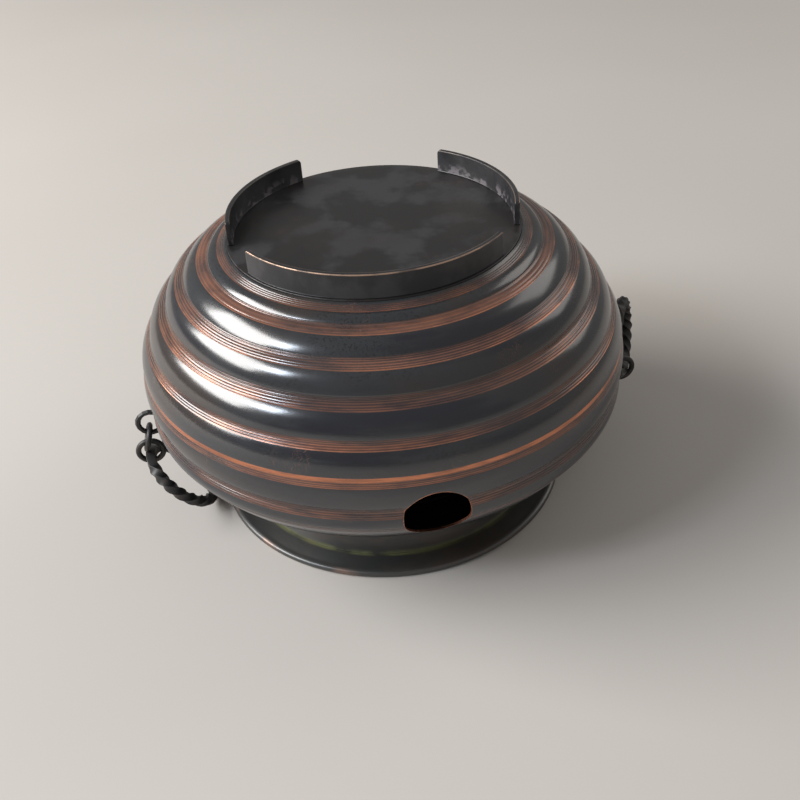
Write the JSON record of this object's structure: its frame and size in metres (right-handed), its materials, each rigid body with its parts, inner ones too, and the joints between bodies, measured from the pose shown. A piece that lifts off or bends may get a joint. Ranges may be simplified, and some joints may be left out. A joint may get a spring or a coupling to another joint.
{
  "type": "tea stove",
  "caption": "Ribbed round metal tea stove with a flat base on arc feet, an air window, a rolled mouth rim and a twisted ring handle on each side, shown turned over on its rim.",
  "frame": {"origin": "on the body's axis, at the lowest flat of the rolled mouth rim, on which the turned-over stove stands", "axes": "+Z along the body's axis from the mouth rim to the base disc and feet; the air window faces -Y; the handles lie along X"},
  "size_m": [0.3699, 0.318, 0.2036],
  "materials": {
    "dark_copper": "dark patinated copper, satin, with bright worn lines",
    "worn_copper": "worn copper at the rim",
    "black_iron": "matte blackened"
  },
  "bodies": {
    "stove": {"ribbed_body": "dark_copper", "base_plate": "dark_copper", "foot_front": "dark_copper", "foot_left": "dark_copper", "foot_right": "dark_copper", "neck_ring": "dark_copper", "mouth_flange": "worn_copper", "bead_wire": "black_iron", "eye_left": "black_iron", "eye_washer_left": "dark_copper", "eye_right": "black_iron", "eye_washer_right": "dark_copper"},
    "upper_link_left": {"link_left_1": "black_iron"},
    "lower_link_left": {"link_left_2": "black_iron"},
    "ring_left": {"twisted_ring_left": "black_iron"},
    "upper_link_right": {"link_right_1": "black_iron"},
    "lower_link_right": {"link_right_2": "black_iron"},
    "ring_right": {"twisted_ring_right": "black_iron"}
  },
  "joints": [
    {"name": "upper_link_left_swing", "type": "hinge", "parent": "stove", "child": "upper_link_left", "pos_m": [-0.16272, 0, 0.06676], "axis": [0, 1, 0], "range_deg": [-6, 60]},
    {"name": "lower_link_left_swing", "type": "hinge", "parent": "upper_link_left", "child": "lower_link_left", "pos_m": [-0.16921, 0, 0.04668], "axis": [0, 1, 0], "range_deg": [-5, 60]},
    {"name": "ring_left_swing", "type": "hinge", "parent": "lower_link_left", "child": "ring_left", "pos_m": [-0.16729, -0.00057, 0.04125], "axis": [0.107, 0.9772, -0.1835], "range_deg": [-30, 11]},
    {"name": "upper_link_right_swing", "type": "hinge", "parent": "stove", "child": "upper_link_right", "pos_m": [0.16272, 0, 0.06676], "axis": [0, -1, 0], "range_deg": [-60, 1]},
    {"name": "lower_link_right_swing", "type": "hinge", "parent": "upper_link_right", "child": "lower_link_right", "pos_m": [0.17536, 0, 0.04986], "axis": [0, -1, 0], "range_deg": [-7, 0]},
    {"name": "ring_right_swing", "type": "hinge", "parent": "lower_link_right", "child": "ring_right", "pos_m": [0.17745, 0.00288, 0.0434], "axis": [-0.5014, -0.8651, -0.0129], "range_deg": [-3, 0]}
  ]
}
